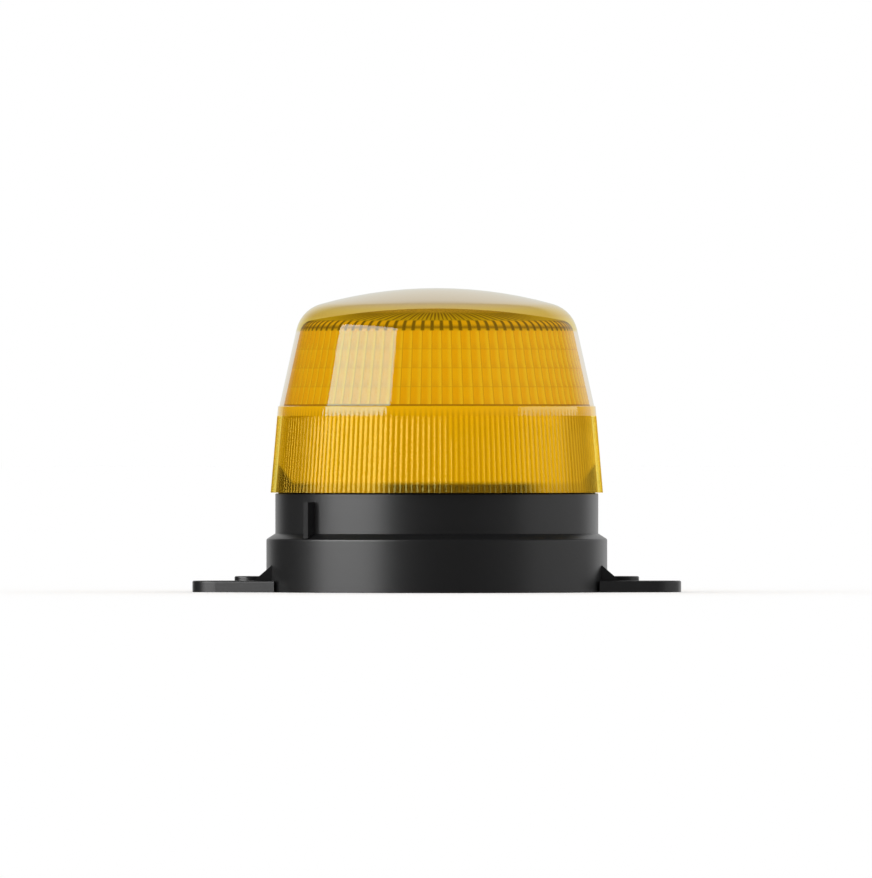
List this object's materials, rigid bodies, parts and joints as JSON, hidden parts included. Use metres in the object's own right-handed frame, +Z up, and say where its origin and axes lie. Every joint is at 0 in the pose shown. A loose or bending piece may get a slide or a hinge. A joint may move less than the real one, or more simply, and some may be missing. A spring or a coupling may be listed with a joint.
{
  "type": "warning light with siren",
  "caption": "Amber warning beacon with a ribbed lens and a siren, on a round twist-lock base with two fixing ears.",
  "frame": {"origin": "centre of the underside of the base, on the mounting surface", "axes": "+Z up out of the lens, +X towards one ear, -Y towards the front of the picture"},
  "size_m": [0.172, 0.12, 0.107],
  "materials": {
    "black_abs": "moulded ABS, fine texture",
    "amber_polycarbonate": "clear moulded amber",
    "nitrile_rubber": "matt",
    "foam_rubber": "closed cell foam",
    "black_nylon": "moulded",
    "zinc_steel": "bright zinc plated",
    "ferrite": "pressed ferrite",
    "copper_wire": "enamelled",
    "polyester_film": "formed film",
    "aluminium": "extruded, plain",
    "green_board": "solder mask",
    "white_board": "white solder mask on aluminium",
    "led_phosphor": "silicone over phosphor",
    "capacitor_sleeve": "shrunk sleeve",
    "chip_epoxy": "moulded epoxy",
    "terminal_green": "moulded polyamide",
    "switch_blue": "moulded",
    "white_nylon": "moulded"
  },
  "bodies": {
    "base": {"mounting_base": "black_abs", "base_gasket": "foam_rubber", "cable_grommet": "nitrile_rubber"},
    "housing": {"body_housing": "black_abs", "lens_seal": "nitrile_rubber", "lower_cover": "black_abs", "lower_cover_screws": "zinc_steel", "housing_o_ring": "nitrile_rubber", "cable_gland_body": "black_nylon", "cable_gland_nut": "black_nylon", "cable_gland_cap": "black_nylon", "siren_frame": "black_abs", "siren_gasket": "foam_rubber", "siren_grille": "black_abs", "siren_top_plate": "zinc_steel", "siren_magnet": "ferrite", "siren_yoke": "zinc_steel", "siren_surround": "nitrile_rubber", "siren_screws": "zinc_steel", "main_board": "green_board", "board_screws": "zinc_steel", "led_heat_sink": "aluminium", "led_strips": "white_board", "led_packages": "led_phosphor", "led_top_board": "white_board", "led_top_packages": "led_phosphor", "led_tower_screws": "zinc_steel", "led_top_screws": "zinc_steel", "power_capacitors": "capacitor_sleeve", "siren_transformer": "chip_epoxy", "controller_chip": "chip_epoxy", "tower_connector": "white_nylon", "small_board_parts": "chip_epoxy", "terminal_block": "terminal_green", "terminal_screws": "zinc_steel", "dip_switch_body": "switch_blue", "volume_trimmer_body": "switch_blue"},
    "lens": {"lens_dome": "amber_polycarbonate"},
    "siren_cone": {"siren_diaphragm": "polyester_film", "siren_voice_coil": "copper_wire"},
    "volume_rotor": {"volume_trimmer_rotor": "white_nylon"},
    "slider_1": {"dip_slider_1": "white_nylon"},
    "slider_2": {"dip_slider_2": "white_nylon"},
    "slider_3": {"dip_slider_3": "white_nylon"},
    "slider_4": {"dip_slider_4": "white_nylon"}
  },
  "joints": [
    {"name": "housing_twist", "type": "hinge", "parent": "base", "child": "housing", "pos_m": [0, 0, 0.0206], "axis": [0, 0, 1], "range_deg": [0, 20]},
    {"name": "lens_twist", "type": "hinge", "parent": "housing", "child": "lens", "pos_m": [0, 0, 0.035], "axis": [0, 0, 1], "range_deg": [0, 24]},
    {"name": "siren_motion", "type": "slide", "parent": "housing", "child": "siren_cone", "axis": [0, 0, 1], "range_m": [-0.0004, 0.0004], "stiffness_N_per_m": 400},
    {"name": "volume_trim", "type": "hinge", "parent": "housing", "child": "volume_rotor", "pos_m": [0.033, -0.0099, 0.0432], "axis": [0, 0, 1], "range_deg": [-135, 135]},
    {"name": "setting_switch_1", "type": "slide", "parent": "housing", "child": "slider_1", "axis": [1, 0, 0], "range_m": [0, 0.0018]},
    {"name": "setting_switch_2", "type": "slide", "parent": "housing", "child": "slider_2", "axis": [1, 0, 0], "range_m": [0, 0.0018]},
    {"name": "setting_switch_3", "type": "slide", "parent": "housing", "child": "slider_3", "axis": [1, 0, 0], "range_m": [0, 0.0018]},
    {"name": "setting_switch_4", "type": "slide", "parent": "housing", "child": "slider_4", "axis": [1, 0, 0], "range_m": [0, 0.0018]}
  ]
}
